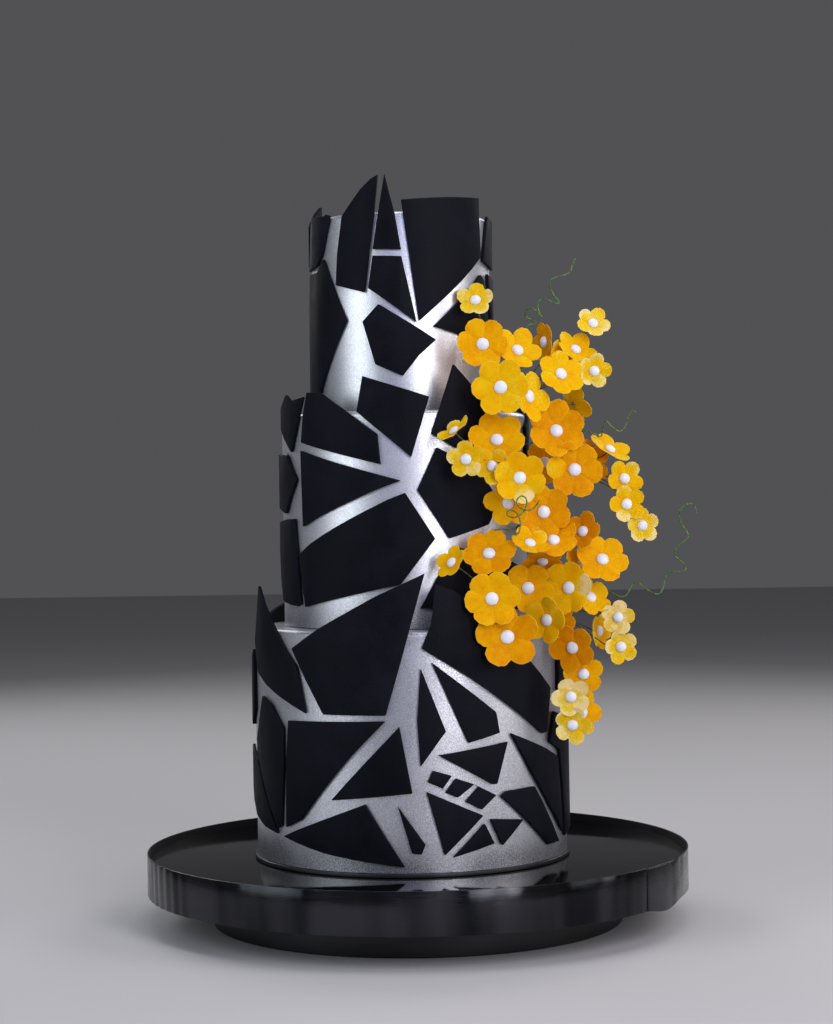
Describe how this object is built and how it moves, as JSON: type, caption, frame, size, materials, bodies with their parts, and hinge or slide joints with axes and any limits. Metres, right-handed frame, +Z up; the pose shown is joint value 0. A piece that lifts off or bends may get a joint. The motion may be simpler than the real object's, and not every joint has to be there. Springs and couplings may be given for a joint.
{
  "type": "tiered wedding cake",
  "caption": "Round tiered silver cake covered in black angular shards, with a cascade of wired yellow flowers and curly tendrils, on a low black stand with a metal strip round its rim.",
  "frame": {"origin": "centre of the stand's underside", "axes": "+Z up through the cake, -Y towards the front of the cake, +X to the side with the flowers"},
  "size_m": [0.4206, 0.416, 0.5655],
  "materials": {
    "silver_icing": "sugar paste brushed with edible silver, satin with a fine grain",
    "black_sugar": "matt black sugar paste with a slight blue cast",
    "petal": "matt yellow and orange wafer paper, mottled",
    "tendril": "green covered wire",
    "plate": "glossy black, mirrors the cake",
    "foot": "satin black",
    "strip": "dull metal strip with soft creases",
    "card": "dark covered cake card"
  },
  "bodies": {
    "root": {"bottom_shard_01": "black_sugar", "bottom_shard_02": "black_sugar", "bottom_shard_03": "black_sugar", "bottom_shard_04": "black_sugar", "bottom_shard_05": "black_sugar", "bottom_shard_06": "black_sugar", "bottom_shard_07": "black_sugar", "bottom_shard_08": "black_sugar", "bottom_shard_09": "black_sugar", "bottom_shard_10": "black_sugar", "bottom_shard_11": "black_sugar", "bottom_shard_12": "black_sugar", "bottom_shard_13": "black_sugar", "bottom_shard_14": "black_sugar", "bottom_shard_15": "black_sugar", "bottom_shard_16": "black_sugar", "bottom_shard_17": "black_sugar", "bottom_shard_18": "black_sugar", "bottom_shard_19": "black_sugar", "bottom_shard_20": "black_sugar", "bottom_shard_21": "black_sugar", "bottom_tier": "silver_icing", "cake_card": "card", "middle_shard_01": "black_sugar", "middle_shard_02": "black_sugar", "middle_shard_03": "black_sugar", "middle_shard_04": "black_sugar", "middle_shard_05": "black_sugar", "middle_shard_06": "black_sugar", "middle_shard_07": "black_sugar", "middle_shard_08": "black_sugar", "middle_shard_09": "black_sugar", "middle_shard_10": "black_sugar", "middle_tier": "silver_icing", "spray_lower_left": "petal", "spray_lower_middle": "petal", "spray_lower_right": "petal", "spray_middle_left": "petal", "spray_middle_right": "petal", "spray_top_left": "petal", "spray_top_right": "petal", "stand_foot": "foot", "stand_plate": "plate", "stand_strip": "strip", "tendril_front": "tendril", "tendril_lower": "tendril", "tendril_middle": "tendril", "tendril_top": "tendril", "top_shard_01": "black_sugar", "top_shard_02": "black_sugar", "top_shard_03": "black_sugar", "top_shard_04": "black_sugar", "top_shard_05": "black_sugar", "top_shard_06": "black_sugar", "top_shard_07": "black_sugar", "top_shard_08": "black_sugar", "top_shard_09": "black_sugar", "top_shard_10": "black_sugar", "top_tier": "silver_icing"}
  },
  "joints": []
}
